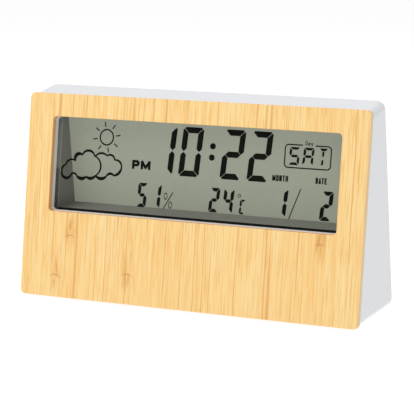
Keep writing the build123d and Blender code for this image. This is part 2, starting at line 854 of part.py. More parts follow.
key_board_back = key_board_face + board_thickness
key_board_rear = Plane(
    origin=inside(key_board_back).origin, x_dir=(1, 0, 0), z_dir=-back.z_dir
)
key_board_screws = screw(key_board_rear, [(-x, y) for x, y in key_board_spots], board_screw)
key_board_screws.part.label = "key_board_screws"
export_step(key_board_screws.part, "parts/key_board_screws.step")

with BuildPart() as switch_bodies:
    with BuildSketch(inside(key_board_face)):
        with Locations(*key_spots):
            Rectangle(switch_side, switch_side)
    extrude(amount=switch_body)
    with BuildSketch(inside(key_board_face - switch_body)):
        with Locations(*key_spots):
            Circle(plunger_diameter / 2 + 0.1)
    extrude(amount=-(plunger_length - plunger_proud + plunger_gap + key_travel + 0.1), mode=Mode.SUBTRACT)
switch_bodies.part.label = "switch_bodies"
export_step(switch_bodies.part, "parts/switch_bodies.step")

# Humidity sensor and thermistor, on the key board behind the vents
with BuildPart() as humidity_sensor:
    with BuildSketch(inside(key_board_face)):
        with Locations((vent_middle + 3.6, vent_height)):
            Rectangle(*sensor_size[:2])
    extrude(amount=sensor_size[2])
humidity_sensor.part.label = "humidity_sensor"
export_step(humidity_sensor.part, "parts/humidity_sensor.step")

with BuildPart() as thermistor:
    with BuildSketch(inside(key_board_face)):
        with Locations((vent_middle - 5.0, vent_height)):
            with GridLocations(1.6, 1, 2, 1):
                Rectangle(0.5, 0.5)
    extrude(amount=thermistor_stand)
    with BuildSketch(inside(key_board_face - thermistor_stand + 0.2)):
        with Locations((vent_middle - 5.0, vent_height)):
            Circle(thermistor_diameter / 2)
    extrude(amount=thermistor_height)
    bead = thermistor.edges().group_by(Axis(back.origin, back.z_dir))[-1]
    fillet(bead, 0.4 * thermistor_height)
thermistor.part.label = "thermistor"
export_step(thermistor.part, "parts/thermistor.step")

# Sounder: brass disc on the cover's ring, a thin ceramic disc bonded to it
sounder_depth = cover_thickness + sounder_ring
with BuildPart() as sounder_disc:
    with BuildSketch(inside(sounder_depth)):
        with Locations((sounder_x, sounder_height)):
            Circle(sounder_diameter / 2)
    extrude(amount=-sounder_brass)
sounder_disc.part.label = "sounder_disc"
export_step(sounder_disc.part, "parts/sounder_disc.step")

with BuildPart() as sounder_ceramic:
    with BuildSketch(inside(sounder_depth + sounder_brass)):
        with Locations((sounder_x, sounder_height)):
            Circle(sounder_ceramic_size[0] / 2)
    extrude(amount=-sounder_ceramic_size[1])
sounder_ceramic.part.label = "sounder_ceramic"
export_step(sounder_ceramic.part, "parts/sounder_ceramic.step")


def on_cover(x, y, depth):
    """Point at x and y of the cover's outer face, that deep inside it."""
    return inside(depth).from_local_coords((x, y, 0))


def wire(points, radii, diameter):
    """Round wire along straight runs joined by arcs."""
    with BuildPart() as made:
        with BuildLine() as route:
            FilletPolyline(*points, radius=radii)
        with BuildSketch(Plane(origin=route.line @ 0, z_dir=route.line % 0)):
            Circle(diameter / 2)
        sweep(path=route.line)
    length = sum(edge.length for edge in route.edges())
    print("wire radii", radii, "volume", made.part.volume, "from", pi * diameter**2 / 4 * length)
    return made


# Sounder's two leads, down the inside of the cover to the key board's edge
lead_depth = sounder_depth + sounder_brass + sounder_ceramic_size[1] + thin_lead / 2
lead_routes = [
    [
        on_cover(sounder_x + side * 3.0, sounder_height - 2.0, lead_depth),
        on_cover(sounder_x + side * 3.0, sounder_height - 10.0, lead_depth + 0.2),
        on_cover(sounder_x + side * 2.0, key_board_top - 2.0, lead_depth + 0.4),
        on_cover(sounder_x + side * 2.0, key_board_top - 2.0, key_board_face),
    ]
    for side in (-1, 1)
]
lead_wires = [wire(route_points, [6.0, 1.2], thin_lead) for route_points in lead_routes]
with BuildPart() as sounder_leads:
    for lead in lead_wires:
        add(lead.part)
sounder_leads.part.label = "sounder_leads"
export_step(sounder_leads.part, "parts/sounder_leads.step")


# Cells: AAA, lying side by side, each against its own positive contact
def cell(y, nub_side, nub_x):
    """One AAA cell at height y, its nub ending at nub_x and pointing to nub_side."""
    middle = inside(cell_axis)
    start = middle.from_local_coords((nub_x - nub_side * cell_nub[1], y, 0))
    outward = Plane(origin=start, z_dir=(-nub_side, 0, 0))
    with BuildPart() as made:
        with BuildSketch(outward):
            Circle(cell_diameter / 2)
        extrude(amount=-cell_length)
        fillet(made.edges(), radius=0.5)
        with BuildSketch(outward):
            Circle(cell_nub[0] / 2)
        extrude(amount=cell_nub[1])
    return made


nub_inner_x = bay_inner_x - nub_gap
nub_outer_x = bay_outer_x + nub_gap
cell_upper = cell(positive_y, 1, nub_inner_x)
cell_upper.part.label = "cell_upper"
export_step(cell_upper.part, "parts/cell_upper.step")

cell_lower = cell(negative_y, -1, nub_outer_x)
cell_lower.part.label = "cell_lower"
export_step(cell_lower.part, "parts/cell_lower.step")


# Contacts: plates against the tray's end walls, pressed up for a nub or carrying a spring
def contact(side, wall_x, dimples, springs, low, high, tail_y):
    """Contact plate at an end wall, side pointing from the wall into the tray."""
    face_x = wall_x + side * (plate_gap + plate_thickness)
    sheet = inside(cell_axis)
    origin = sheet.from_local_coords((face_x, 0, 0))
    facing = Plane(origin=origin, x_dir=sheet.z_dir, z_dir=(-side, 0, 0))
    flip = 1 if facing.y_dir.dot(back.y_dir) > 0 else -1
    with BuildPart() as made:
        with BuildSketch(facing):
            with Locations((0, flip * (low + high) / 2)):
                Rectangle(plate_depth, high - low)
            if tail_y is not None:
                reach = bay_depth + bay_wall + tail_proud - cell_axis
                with Locations((-reach / 2, flip * tail_y)):
                    Rectangle(reach, tail_width)
        extrude(amount=-plate_thickness)
        if dimples:
            with BuildSketch(facing):
                with Locations(*[(0, flip * y) for y in dimples]):
                    Circle(dimple_diameter / 2)
            extrude(amount=nub_gap - plate_gap - plate_thickness, taper=20)
        for y in springs:
            # the spring, as a thin cone of the wire's thickness
            spring_length = cell_room - plate_gap - plate_thickness - 0.1
            cone = degrees(atan2(spring_radii[0] - spring_radii[1], spring_length))
            with BuildSketch(facing):
                with Locations((0, flip * y)):
                    Circle(spring_radii[0] + spring_wire / 2)
            extrude(amount=spring_length, taper=cone)
            with BuildSketch(facing):
                with Locations((0, flip * y)):
                    Circle(spring_radii[0] - spring_wire / 2)
            extrude(amount=spring_length, taper=cone, mode=Mode.SUBTRACT)
    return made


cell_room = 2 * bay_end_gap - nub_gap
half_span = cell_diameter / 2 - 0.4
contact_positive = contact(
    -1, bay_inner_x, [positive_y], [], positive_y - half_span, positive_y + half_span, positive_y
)
contact_positive.part.label = "contact_positive"
export_step(contact_positive.part, "parts/contact_positive.step")

contact_negative = contact(
    -1, bay_inner_x, [], [negative_y], negative_y - half_span, negative_y + half_span, negative_y
)
contact_negative.part.label = "contact_negative"
export_step(contact_negative.part, "parts/contact_negative.step")

contact_bridge = contact(
    1,
    bay_outer_x,
    [negative_y],
    [positive_y],
    negative_y - half_span,
    positive_y + half_span,
    None,
)
contact_bridge.part.label = "contact_bridge"
export_step(contact_bridge.part, "parts/contact_bridge.step")


# Leads from the contacts' tails to the main board
def on_board(x, y, depth):
    """Point at x and y of the bamboo's face, that deep behind it, x as seen from the back."""
    return behind(depth).from_local_coords((-x, y, 0))


def battery_lead(tail_y, board_y):
    """Lead from a contact's tail to the main board's back."""
    start_depth = bay_depth + bay_wall + tail_proud - 0.4
    start_x = tail_x + plate_thickness / 2 + lead_diameter / 2
    points = [
        on_cover(start_x, tail_y, start_depth),
        on_cover(start_x, tail_y, start_depth + 2.4),
        on_board(start_x + 3.5, board_y, board_back + 2.4),
        on_board(start_x + 3.5, board_y, board_back),
    ]
    return wire(points, [1.0, 1.0], lead_diameter)


battery_lead_red = battery_lead(positive_y, 19.0)
battery_lead_red.part.label = "battery_lead_red"
export_step(battery_lead_red.part, "parts/battery_lead_red.step")

battery_lead_black = battery_lead(negative_y, 9.0)
battery_lead_black.part.label = "battery_lead_black"
export_step(battery_lead_black.part, "parts/battery_lead_black.step")

# Flat cable from the key board to the main board, in one bend at each end
ribbon_start = on_cover(ribbon_x, 12.0, key_board_back)
ribbon_out = on_cover(ribbon_x, 12.0, key_board_back + 3.5)
ribbon_turn = on_board(ribbon_x, 20.0, board_back + 3.5)
ribbon_end = on_board(ribbon_x, 20.0, board_back)
with BuildPart() as key_ribbon:
    with BuildSketch(Plane.YZ.offset(-ribbon_x - ribbon_width / 2)):
        with BuildLine():
            FilletPolyline(
                *[(p.Y, p.Z) for p in (ribbon_start, ribbon_out, ribbon_turn, ribbon_end)],
                radius=2.0,
            )
        trace(line_width=ribbon_thickness)
    extrude(amount=ribbon_width)
key_ribbon.part.label = "key_ribbon"
export_step(key_ribbon.part, "parts/key_ribbon.step")
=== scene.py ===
"""Home weather station: bamboo front board, white wedge housing, wide display, rear keys.

Metres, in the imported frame: +X to the reader's right, +Y away from them, +Z up.
"""

import math

import bmesh
import bpy
from mathutils import Matrix, Vector


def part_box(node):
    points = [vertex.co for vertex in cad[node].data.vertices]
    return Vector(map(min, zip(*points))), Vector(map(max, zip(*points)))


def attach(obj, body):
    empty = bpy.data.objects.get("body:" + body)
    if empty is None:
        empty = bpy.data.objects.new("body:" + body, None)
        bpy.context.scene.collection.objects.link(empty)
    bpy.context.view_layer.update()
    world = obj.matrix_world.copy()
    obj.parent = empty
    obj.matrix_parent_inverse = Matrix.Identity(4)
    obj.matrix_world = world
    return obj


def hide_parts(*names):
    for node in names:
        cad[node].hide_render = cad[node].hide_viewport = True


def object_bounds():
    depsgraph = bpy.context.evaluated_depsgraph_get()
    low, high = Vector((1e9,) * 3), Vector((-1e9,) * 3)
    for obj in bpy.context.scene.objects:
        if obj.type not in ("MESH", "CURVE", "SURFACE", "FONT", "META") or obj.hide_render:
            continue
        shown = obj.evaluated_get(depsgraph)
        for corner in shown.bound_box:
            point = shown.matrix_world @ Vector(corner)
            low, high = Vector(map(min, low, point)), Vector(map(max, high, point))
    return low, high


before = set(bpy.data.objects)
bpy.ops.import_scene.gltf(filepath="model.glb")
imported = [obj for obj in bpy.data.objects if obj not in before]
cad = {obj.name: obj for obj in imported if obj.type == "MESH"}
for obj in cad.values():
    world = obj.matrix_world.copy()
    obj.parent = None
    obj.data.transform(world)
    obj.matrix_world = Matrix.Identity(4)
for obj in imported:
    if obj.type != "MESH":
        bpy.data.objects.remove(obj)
cad_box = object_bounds()

# ---------------------------------------------------------------------------------------
# Camera: a long lens a little to the reader's right and above, level with the horizon.
# It stands off from the middle of the board's lower front edge.
MM = 0.001  # one millimetre
turn = math.radians(24.176)
lift = math.radians(10.566)
stand_off = 602.3 * MM
move_right = 9.35 * MM
move_up = 37.76 * MM
edge_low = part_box("front_panel")[0]
edge_middle = Vector((0, edge_low.y, edge_low.z))
away = Vector(
    (math.sin(turn) * math.cos(lift), -math.cos(turn) * math.cos(lift), math.sin(lift))
)
sideways = Vector((math.cos(turn), math.sin(turn), 0))
upwards = away.cross(sideways)
lens = bpy.data.cameras.new("camera")
lens.sensor_width = 36
lens.lens = 144.2
lens.clip_start = 0.05
lens.clip_end = 20
camera = bpy.data.objects.new("camera", lens)
bpy.context.scene.collection.objects.link(camera)
camera.location = edge_middle + stand_off * away + move_right * sideways + move_up * upwards
camera.rotation_euler = (-away).to_track_quat("-Z", "Y").to_euler()
bpy.context.scene.camera = camera

# ---------------------------------------------------------------------------------------
# Front board: a solid board of bamboo strips, glued side by side and sawn, with a cut
# window. Clear matt lacquer over pale yellow strips, fine upright fibres, and a knot
# here and there where a strip was cut through a stem's ring.


def linear(code):
    """sRGB hex colour as a linear colour with alpha 1."""
    shares = [int(code[i : i + 2], 16) / 255 for i in (1, 3, 5)]
    return [c / 12.92 if c <= 0.04045 else ((c + 0.055) / 1.055) ** 2.4 for c in shares] + [1]


def add_node(tree, kind, inputs=None, **settings):
    """Adds a node with its settings; an input is a value or another node's output."""
    made = tree.nodes.new(kind)
    for name, value in settings.items():
        setattr(made, name, value)
    for name, value in (inputs or {}).items():
        if isinstance(value, bpy.types.NodeSocket):
            tree.links.new(value, made.inputs[name])
        else:
            made.inputs[name].default_value = value
    return made


def new_material(name):
    """Empty material: its tree, its shader, and the piece's own coordinates."""
    made = bpy.data.materials.new(name)
    made.use_nodes = True
    tree = made.node_tree
    tree.nodes.clear()
    shader = add_node(tree, "ShaderNodeBsdfPrincipled")
    add_node(tree, "ShaderNodeOutputMaterial", {"Surface": shader.outputs["BSDF"]})
    place = add_node(tree, "ShaderNodeTexCoord").outputs["Object"]
    return made, tree, shader, place


def stretched(tree, place, per_metre):
    """Coordinates times per_metre along X, Y and Z."""
    return add_node(
        tree, "ShaderNodeMapping", {"Vector": place, "Scale": per_metre}
    ).outputs["Vector"]


def ramp(tree, factor, stops):
    """Colour ramp over (position, colour) stops, colours as hex or as one grey number."""
    made = add_node(tree, "ShaderNodeValToRGB", {"Fac": factor})
    elements = made.color_ramp.elements
    while len(elements) < len(stops):
        elements.new(0.5)
    for element, (position, shade) in zip(elements, stops):
        element.position = position
        element.color = linear(shade) if isinstance(shade, str) else (shade, shade, shade, 1)
    return made.outputs["Color"]


def blended(tree, how, factor, first, second):
    """Two colours mixed by factor. A mix node keeps its colours in sockets 6, 7 and 2."""
    made = add_node(tree, "ShaderNodeMix", data_type="RGBA", blend_type=how)
    for index, value in ((0, factor), (6, first), (7, second)):
        if isinstance(value, bpy.types.NodeSocket):
            tree.links.new(value, made.inputs[index])
        else:
            made.inputs[index].default_value = value
    return made.outputs[2]


def maths(tree, how, first, second=0.0, third=0.0, clamp=False):
    """One sum on one to three numbers."""
    return add_node(
        tree,
        "ShaderNodeMath",
        {0: first, 1: second, 2: third},
        operation=how,
        use_clamp=clamp,
    ).outputs[0]


def dress(material, slot_names):
    """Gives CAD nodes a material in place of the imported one."""
    for name in slot_names:
        cad[name].data.materials.clear()
        cad[name].data.materials.append(material)


# bamboo under matt lacquer: soft broad lights, warm yellow, fibres seen as fine upright lines
bamboo, tree, shader, place = new_material("bamboo side-pressed lacquered")
# the board leans back, so its pattern is turned to stand along its face
front_lean = math.radians(8.5)
front_normal = Vector((0, -math.cos(front_lean), math.sin(front_lean)))
along_board = add_node(
    tree, "ShaderNodeMapping", {"Vector": place, "Rotation": (front_lean, 0, 0)}
).outputs["Vector"]
board_place = add_node(tree, "ShaderNodeSeparateXYZ", {"Vector": along_board})
# strips wander by a third of a millimetre, as sawn bamboo does
wander_reach = 0.7 * MM
strip_width = 6.4 * MM
wander = add_node(
    tree,
    "ShaderNodeTexNoise",
    {"Vector": stretched(tree, along_board, (60, 60, 45)), "Scale": 1.0, "Detail": 2.0},
).outputs["Fac"]
across = maths(tree, "MULTIPLY_ADD", wander, wander_reach, board_place.outputs["X"])
strip = add_node(
    tree, "ShaderNodeTexVoronoi", {"W": across, "Scale": 1 / strip_width}, voronoi_dimensions="1D"
)
strip_tone = add_node(tree, "ShaderNodeSeparateColor", {"Color": strip.outputs["Color"]})
joint = add_node(
    tree,
    "ShaderNodeTexVoronoi",
    {"W": across, "Scale": 1 / strip_width},
    voronoi_dimensions="1D",
    feature="DISTANCE_TO_EDGE",
).outputs["Distance"]
# every strip has its own stretch of fibres
own_height = maths(tree, "MULTIPLY_ADD", strip_tone.outputs["Red"], 3.0, board_place.outputs["Z"])
fibre_place = add_node(
    tree,
    "ShaderNodeCombineXYZ",
    {"X": across, "Y": board_place.outputs["Y"], "Z": own_height},
).outputs["Vector"]


def fibres(width, length, detail, roughness=0.5):
    """Upright streaks, about width by length in metres."""
    return add_node(
        tree,
        "ShaderNodeTexNoise",
        {
            "Vector": stretched(tree, fibre_place, (1 / width, 1 / width, 1 / length)),
            "Scale": 1.0,
            "Detail": detail,
            "Roughness": roughness,
        },
    ).outputs["Fac"]


def layer(colour, mask, strength, shade):
    """Colour with a darker or lighter shade laid over it through a mask."""
    return blended(tree, "MIX", maths(tree, "MULTIPLY", mask, strength), colour, linear(shade))


bundles = fibres(2.6 * MM, 110 * MM, 1.0)
threads = fibres(0.78 * MM, 26 * MM, 2.0)
hairs = fibres(0.50 * MM, 14 * MM, 1.0)
wood = ramp(
    tree, strip_tone.outputs["Green"], [(0.0, "#FACD83"), (0.5, "#FDD78F"), (1.0, "#FFDF9E")]
)
bundle_shade = ramp(tree, bundles, [(0.32, "#F9CC80"), (0.50, "#FDD68D"), (0.66, "#FFE1A2")])
wood = blended(tree, "MIX", 0.50, wood, bundle_shade)
thread_shade = ramp(tree, threads, [(0.34, "#F3B862"), (0.47, "#FDD489"), (0.62, "#FFE8B1")])
wood = blended(tree, "MIX", 0.30, wood, thread_shade)
wood = layer(wood, ramp(tree, hairs, [(0.38, 1.0), (0.46, 0.0)]), 0.42, "#EEAA4C")
# dark vessels that run far, thinner and rarer
vessels = fibres(0.60 * MM, 90 * MM, 0.0)
wood = layer(wood, ramp(tree, vessels, [(0.25, 1.0), (0.30, 0.0)]), 0.55, "#DC9236")
# glue joints between strips
wood = layer(wood, ramp(tree, joint, [(0.0, 1.0), (0.03, 0.0)]), 0.30, "#E0A24C")

# knots: middle across, height, half width, in millimetres; an arched line where the stem's
# ring was, with a warmer patch and short dark dashes above and under it
knot_reach = 9 * MM
knot_rise = 0.9 * MM
knot_line = 0.45 * MM
knot_raggedness = 3.0 * MM
knots = [
    (-47.3, 22.9, 2.3),
    (-52.5, 7.6, 2.6),
    (-22.5, 10.5, 2.6),
    (52.2, 27.5, 2.4),
]
dashes = fibres(0.7 * MM, 8 * MM, 1.5)
dash_mask = ramp(tree, dashes, [(0.50, 0.0), (0.57, 1.0)])
for knot_x, knot_z, knot_half in knots:
    side = maths(tree, "DIVIDE", maths(tree, "SUBTRACT", across, knot_x * MM), knot_half * MM)
    square = maths(tree, "MULTIPLY", side, side)
    within = maths(tree, "SUBTRACT", 1.0, square, clamp=True)
    height = maths(tree, "SUBTRACT", board_place.outputs["Z"], knot_z * MM)
    ragged = maths(tree, "MULTIPLY_ADD", bundles, knot_raggedness, height)
    arched = maths(tree, "MULTIPLY_ADD", square, knot_rise, ragged)
    line = maths(tree, "DIVIDE", maths(tree, "ABSOLUTE", arched), knot_line)
    line = maths(tree, "SUBTRACT", 1.0, line, clamp=True)
    patch = maths(tree, "DIVIDE", maths(tree, "ABSOLUTE", height), knot_reach)
    patch = maths(tree, "SUBTRACT", 1.0, patch, clamp=True)
    patch = maths(tree, "MULTIPLY", patch, within)
    wood = layer(wood, patch, 0.50, "#F0B868")
    wood = layer(wood, maths(tree, "MULTIPLY", patch, dash_mask), 0.8, "#D48D38")
    wood = layer(wood, maths(tree, "MULTIPLY", line, within), 0.50, "#9A632C")
# sawn sides are greyer than the lacquered face; the cut ends and the window's edge, within 63 mm
# of the middle, are browner: the cut bamboo's orange, darkened with painted shade for the shadow
# on the window's edge
facing = add_node(tree, "ShaderNodeTexCoord").outputs["Normal"]
square_on = add_node(
    tree, "ShaderNodeVectorMath", {0: facing, 1: front_normal}, operation="DOT_PRODUCT"
).outputs["Value"]
sawn = ramp(tree, square_on, [(0.35, 1.0), (0.80, 0.0)])
sides_from = 63.0 * MM
from_middle = maths(tree, "ABSOLUTE", board_place.outputs["X"])
outside = maths(tree, "GREATER_THAN", from_middle, sides_from)
# painted shade: the browner colour inside 63 mm darkens the window's cut edge as if shadowed
sawn_grey_and_painted_window_shade = blended(tree, "MIX", outside, linear("#EBA860"), linear("#E6CBA8"))
wood = blended(tree, "MIX", maths(tree, "MULTIPLY", sawn, 0.75), wood, sawn_grey_and_painted_window_shade)
tree.links.new(wood, shader.inputs["Base Color"])
gloss = ramp(tree, threads, [(0.3, 0.54), (0.7, 0.44)])
tree.links.new(gloss, shader.inputs["Roughness"])
shader.inputs["IOR"].default_value = 1.5
relief = add_node(
    tree,
    "ShaderNodeBump",
    {"Height": threads, "Strength": 0.25, "Distance": 0.05 * MM},
)
tree.links.new(relief.outputs["Normal"], shader.inputs["Normal"])
dress(bamboo, ["front_panel"])

# ---------------------------------------------------------------------------------------
# Tape between board and housing: a frame of thin white foam with adhesive on both sides,
# die-cut from sheet. It is matt and a little warmer than the housing.


def moulded(name, code, roughness, grain, depth, tone=0.03):
    """Moulded plastic or rubber: one colour, grain of a spark-eroded tool, faint flow marks.

    The grain breaks up the highlights, and the flow marks keep a large face from looking flat.
    """
    made, tree, shader, place = new_material(name)
    flow = add_node(
        tree,
        "ShaderNodeTexNoise",
        {"Vector": stretched(tree, place, (40, 40, 40)), "Scale": 1.0, "Detail": 2.0},
    ).outputs["Fac"]
    pebbles = add_node(
        tree,
        "ShaderNodeTexNoise",
        {
            "Vector": stretched(tree, place, (1 / grain, 1 / grain, 1 / grain)),
            "Scale": 1.0,
            "Detail": 3.0,
        },
    ).outputs["Fac"]
    shades = ramp(tree, flow, [(0.3, 1.0 - tone), (0.7, 1.0)])
    colour = blended(tree, "MULTIPLY", 1.0, linear(code), shades)
    tree.links.new(colour, shader.inputs["Base Color"])
    gloss = ramp(tree, pebbles, [(0.35, roughness - 0.04), (0.65, roughness + 0.04)])
    tree.links.new(gloss, shader.inputs["Roughness"])
    shader.inputs["IOR"].default_value = 1.5
    relief = add_node(
        tree, "ShaderNodeBump", {"Height": pebbles, "Strength": 0.3, "Distance": depth}
    )
    tree.links.new(relief.outputs["Normal"], shader.inputs["Normal"])
    return made


foam_tape = moulded("white polyethylene foam tape", "#DEDCD6", 0.8, 0.5 * MM, 0.05 * MM)
dress(foam_tape, ["panel_tape"])

# ---------------------------------------------------------------------------------------
# Housing: white ABS moulded in one piece, with the fine satin of an eroded tool. Its
# window stands a little inside the board's, so a white rim shows along the bottom.
# The satin gives wide soft lights and no mirror image.
white_abs = moulded("white ABS fine satin", "#ECEDF0", 0.42, 0.35 * MM, 0.012 * MM, tone=0.012)
dress(white_abs, ["front_housing"])

# ---------------------------------------------------------------------------------------
# Display: two glasses with liquid crystal between them, bonded to a polarising film on each
# side, held against the housing's front wall. The films are grey-green, the front one with
# an anti-glare finish; the front glass is taller, and its ledge carries the contacts.


def see_through(name, code, opacity, roughness):
    """Clear sheet: a faint tint over what lies behind it, with a soft shine of its own."""
    made, tree, shader, place = new_material(name)
    haze = add_node(
        tree,
        "ShaderNodeTexNoise",
        {"Vector": stretched(tree, place, (60, 60, 60)), "Scale": 1.0, "Detail": 2.0},
    ).outputs["Fac"]
    shades = ramp(tree, haze, [(0.3, 0.92), (0.7, 1.0)])
    colour = blended(tree, "MULTIPLY", 1.0, linear(code), shades)
    tree.links.new(colour, shader.inputs["Base Color"])
    shader.inputs["Roughness"].default_value = roughness
    shader.inputs["IOR"].default_value = 1.5
    shader.inputs["Specular IOR Level"].default_value = 0.2
    shader.inputs["Alpha"].default_value = opacity
    return made


# the films dim and green the light, the front one without glare; glass edges look dark green
front_film = see_through("anti-glare polariser film", "#14160F", 0.06, 0.30)
rear_film = see_through("rear polariser film", "#3E4436", 0.14, 0.35)
cell_glass = see_through("soda-lime display glass", "#56665A", 0.5, 0.05)

board_up = Vector((0, math.sin(front_lean), math.cos(front_lean)))
board_back = -front_normal
rear_low, rear_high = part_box("lcd_rear_glass")
front_low, front_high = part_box("lcd_front_glass")
glass_thickness = 1.1 * MM
rear_middle = (rear_low + rear_high) / 2
# where the two glasses meet, level with the rear glass's middle
glass_joint = rear_middle - board_back * glass_thickness / 2


def glass_point(x, up, back):
    """Point x across and up from the rear glass's middle, back behind the glass joint."""
    return glass_joint + Vector((x, 0, 0)) + board_up * up + board_back * back


def leaning_height(low, high):
    """Height of a leaning pane along its own face, from its box."""
    tall = (high.z - low.z) - glass_thickness * math.sin(front_lean)
    return tall / math.cos(front_lean)


def from_bmesh(name, made, *finishes):
    """Finished object from a mesh under construction, with its materials."""
    mesh = bpy.data.meshes.new(name)
    bmesh.ops.recalc_face_normals(made, faces=made.faces)
    made.to_mesh(mesh)
    made.free()
    for material in finishes:
        mesh.materials.append(material)
    piece = bpy.data.objects.new(name, mesh)
    bpy.context.scene.collection.objects.link(piece)
    return piece


rear_half = leaning_height(rear_low, rear_high) / 2
ledge = leaning_height(front_low, front_high) - 2 * rear_half
film_thickness = 0.2 * MM
film_inset = 0.8 * MM
low_glass = -rear_half - ledge
# from front to back: where each sheet starts and ends, its inset all round, its lower edge
film_end = glass_thickness + film_thickness
sheets = [
    (-film_end, -glass_thickness, film_inset, -rear_half),
    (-glass_thickness, 0, 0, low_glass),
    (0, glass_thickness, 0, -rear_half),
    (glass_thickness, film_end, film_inset, -rear_half),
]
cell = bmesh.new()
loops = []
for start, end, inset, low in sheets:
    wide = rear_high.x - inset
    bottom = low + inset
    top = rear_half - inset
    corners = [(-wide, bottom), (wide, bottom), (wide, top), (-wide, top)]
    for back in (start, end):
        loops.append([cell.verts.new(glass_point(x, up, back)) for x, up in corners])
for one, other in zip(loops, loops[1:]):
    for i in range(4):
        j = (i + 1) % 4
        cell.faces.new((one[i], one[j], other[j], other[i])).material_index = 1
cell.faces.new(loops[0]).material_index = 0
cell.faces.new(loops[-1]).material_index = 2
display_cell = from_bmesh("display_cell", cell, front_film, cell_glass, rear_film)
# light that lands on the sheet behind the cell isn't dimmed twice
display_cell.visible_shadow = False
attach(display_cell, "station")
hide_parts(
    "front_polariser", "lcd_front_glass", "lcd_rear_glass", "rear_polariser"
)

# ---------------------------------------------------------------------------------------
# Display segments: the liquid crystal turned dark where the tin oxide electrodes are,
# thin flat shapes between the two glasses. Numbers, a sun, two clouds and plain words.
# Switched on, the crystal is nearly black and has no shine.
segment_ink, tree, shader, place = new_material("dark liquid crystal")
ink = add_node(
    tree,
    "ShaderNodeTexNoise",
    {"Vector": stretched(tree, place, (300, 300, 300)), "Scale": 1.0, "Detail": 2.0},
).outputs["Fac"]
tree.links.new(ramp(tree, ink, [(0.3, "#0B0D08"), (0.7, "#12140E")]), shader.inputs["Base Color"])
shader.inputs["Roughness"].default_value = 0.6
shader.inputs["Specular IOR Level"].default_value = 0.05

segments = bmesh.new()
film = 0.02 * MM  # thickness of a dark shape
middle_height = 49.85  # glass middle above the board's lower edge, up its face


def dark(points):
    """Flat dark shape with corners (x, up) in millimetres, up from the board's lower edge."""
    front, rear = [
        [
            segments.verts.new(glass_point(x * MM, (up - middle_height) * MM, back))
            for x, up in points
        ]
        for back in (-film, 0)
    ]
    segments.faces.new(front)
    segments.faces.new(rear)
    for i in range(len(points)):
        j = (i + 1) % len(points)
        segments.faces.new((front[i], front[j], rear[j], rear[i]))


# dark bars: a to f clockwise from the top, g across the middle; j and l are a stem's halves
SEGMENTS_ON = {
    "0": "abcdef",
    "1": "bc",
    "2": "abged",
    "4": "fgbc",
    "5": "afgcd",
    "A": "abcefg",
    "C": "afed",
    "S": "afgcd",
    "T": "ajl",
}
SLANT = 0.074  # sideways for each step up


def digit(character, left, low, wide, high, bar, gap):
    """One seven-segment character, leaning to the right, with a gap between its bars."""
    mid = high / 2
    half = bar / 2
    inner = wide - bar
    centre = wide / 2
    stem_half = half * 0.8
    cut = 0.45 * bar  # off each outer corner
    mitre = cut / 2
    shapes = {
        "a": [
            (mitre + gap, high - mitre),
            (cut, high),
            (wide - cut, high),
            (wide - mitre - gap, high - mitre),
            (inner - gap, high - bar),
            (bar + gap, high - bar),
        ],
        "b": [
            (wide - mitre, high - mitre - gap),
            (wide, high - cut),
            (wide, mid + half + gap),
            (wide - half, mid + gap),
            (inner, mid + half + gap),
            (inner, high - bar - gap),
        ],
        "g": [
            (half + gap, mid),
            (bar + gap, mid + half),
            (inner - gap, mid + half),
            (wide - half - gap, mid),
            (inner - gap, mid - half),
            (bar + gap, mid - half),
        ],
        "j": [
            (centre - stem_half, mid + gap),
            (centre + stem_half, mid + gap),
            (centre + stem_half, high - bar - gap),
            (centre - stem_half, high - bar - gap),
        ],
    }
    shapes["c"] = [(x, high - y) for x, y in shapes["b"]]
    shapes["d"] = [(x, high - y) for x, y in shapes["a"]]
    shapes["f"] = [(wide - x, y) for x, y in shapes["b"]]
    shapes["e"] = [(wide - x, high - y) for x, y in shapes["b"]]
    shapes["l"] = [(x, high - bar - y) for x, y in shapes["j"]]  # reaches the foot of the letter
    for letter in SEGMENTS_ON[character]:
        dark([(left + x + SLANT * y, low + y) for x, y in shapes[letter]])


def ring(x, up, radius, stroke, squeeze=1.0, steps=36):
    """Round line, squeezed sideways."""
    for i in range(steps):
        start = math.tau * i / steps
        end = math.tau * (i + 1) / steps
        dark(
            [
                (x + reach * squeeze * math.cos(angle), up + reach * math.sin(angle))
                for angle, reach in (
                    (start, radius),
                    (end, radius),
                    (end, radius - stroke),
                    (start, radius - stroke),
                )
            ]
        )


def stroke_line(start, end, width):
    """Straight line between two points."""
    start, end = Vector(start), Vector(end)
    along = end - start
    aside = Vector((-along.y, along.x)).normalized() * width / 2
    dark([start + aside, end + aside, end - aside, start - aside])


# time, with its colon
time_low, time_wide, time_high, time_bar = 48.6, 8.3, 18.1, 2.2
for character, left in (("1", -17.85), ("0", -7.2), ("2", 9.4), ("2", 20.0)):
    digit(character, left, time_low, time_wide, time_high, time_bar, 0.10)
dot_radius = 1.15
for dot_x, dot_up in ((6.16, 60.25), (5.96, 56.13)):
    around = [math.radians(degrees) for degrees in range(0, 360, 15)]
    dark([(dot_x + dot_radius * math.cos(a), dot_up + dot_radius * math.sin(a)) for a in around])
# humidity, temperature, month and date: left, low, width, height and bar of each character
for character, left, low, wide, high, bar in (
    ("5", -23.5, 36.05, 3.85, 9.0, 1.3),
    ("1", -17.75, 36.1, 3.8, 8.9, 1.3),
    ("2", 5.7, 36.35, 3.85, 8.9, 1.3),
    ("4", 11.15, 36.4, 4.0, 8.9, 1.3),
    ("C", 17.8, 36.45, 2.2, 5.3, 0.8),
    ("1", 31.65, 36.65, 4.2, 10.2, 1.5),
    ("2", 48.6, 36.5, 4.35, 10.5, 1.5),
):
    digit(character, left, low, wide, high, bar, 0.09)
# weekday
for character, left, low, wide, high in (
    ("S", 35.7, 55.5, 4.0, 6.4),
    ("A", 41.0, 55.65, 4.0, 6.3),
    ("T", 46.7, 55.9, 3.5, 6.1),
):
    digit(character, left, low, wide, high, 0.92, 0.17)
